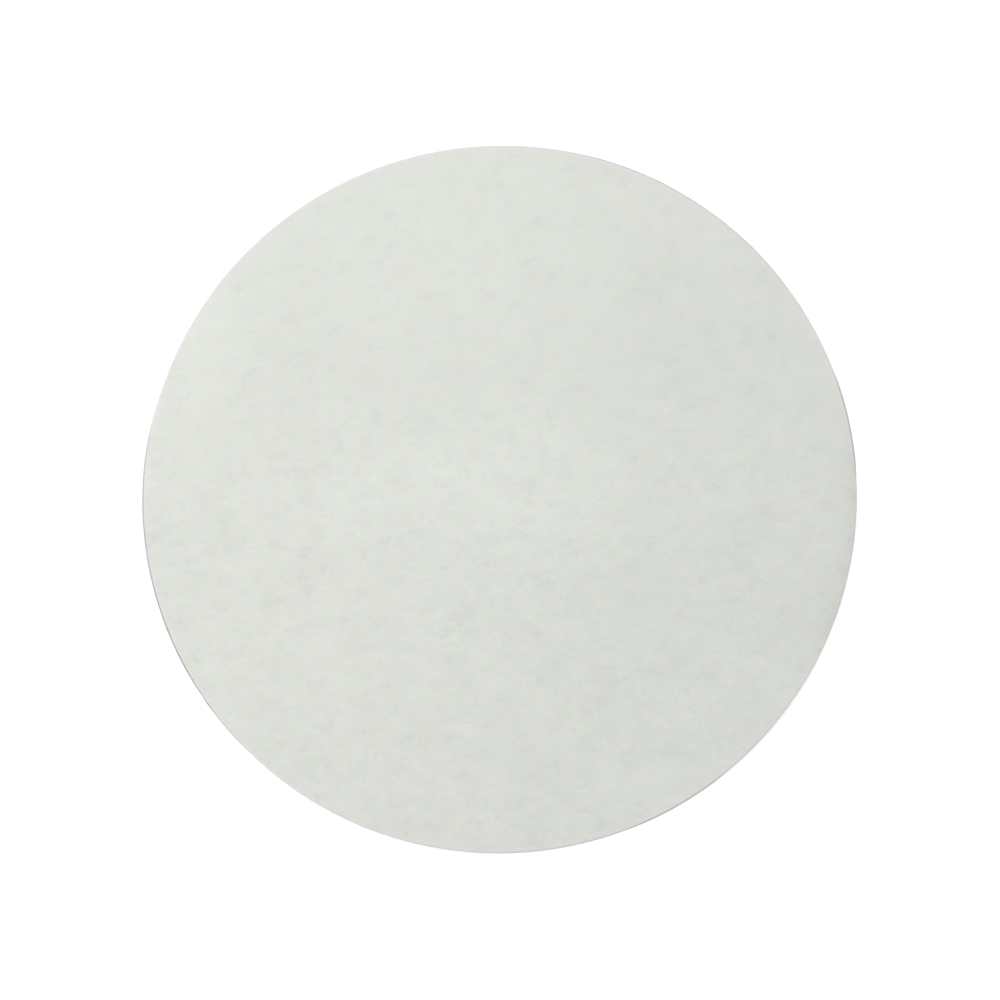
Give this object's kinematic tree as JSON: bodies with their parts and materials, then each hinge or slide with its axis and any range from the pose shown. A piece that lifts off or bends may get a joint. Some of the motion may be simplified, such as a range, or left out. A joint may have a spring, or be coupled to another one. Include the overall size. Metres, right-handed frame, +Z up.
{
  "type": "filter paper disc",
  "caption": "Flat round sheet of off-white laboratory filter paper with a die-cut edge, laid flat to strain solids from a liquid.",
  "frame": {"origin": "centre of the underside, on the plane that the disc rests on", "axes": "+Z up through the upper face, along the disc's axis; X and Y lie in the sheet"},
  "size_m": [0.09, 0.09, 0.0002],
  "materials": {
    "filter_paper": "matte"
  },
  "bodies": {
    "root": {"filter_paper_disc": "filter_paper"}
  },
  "joints": []
}
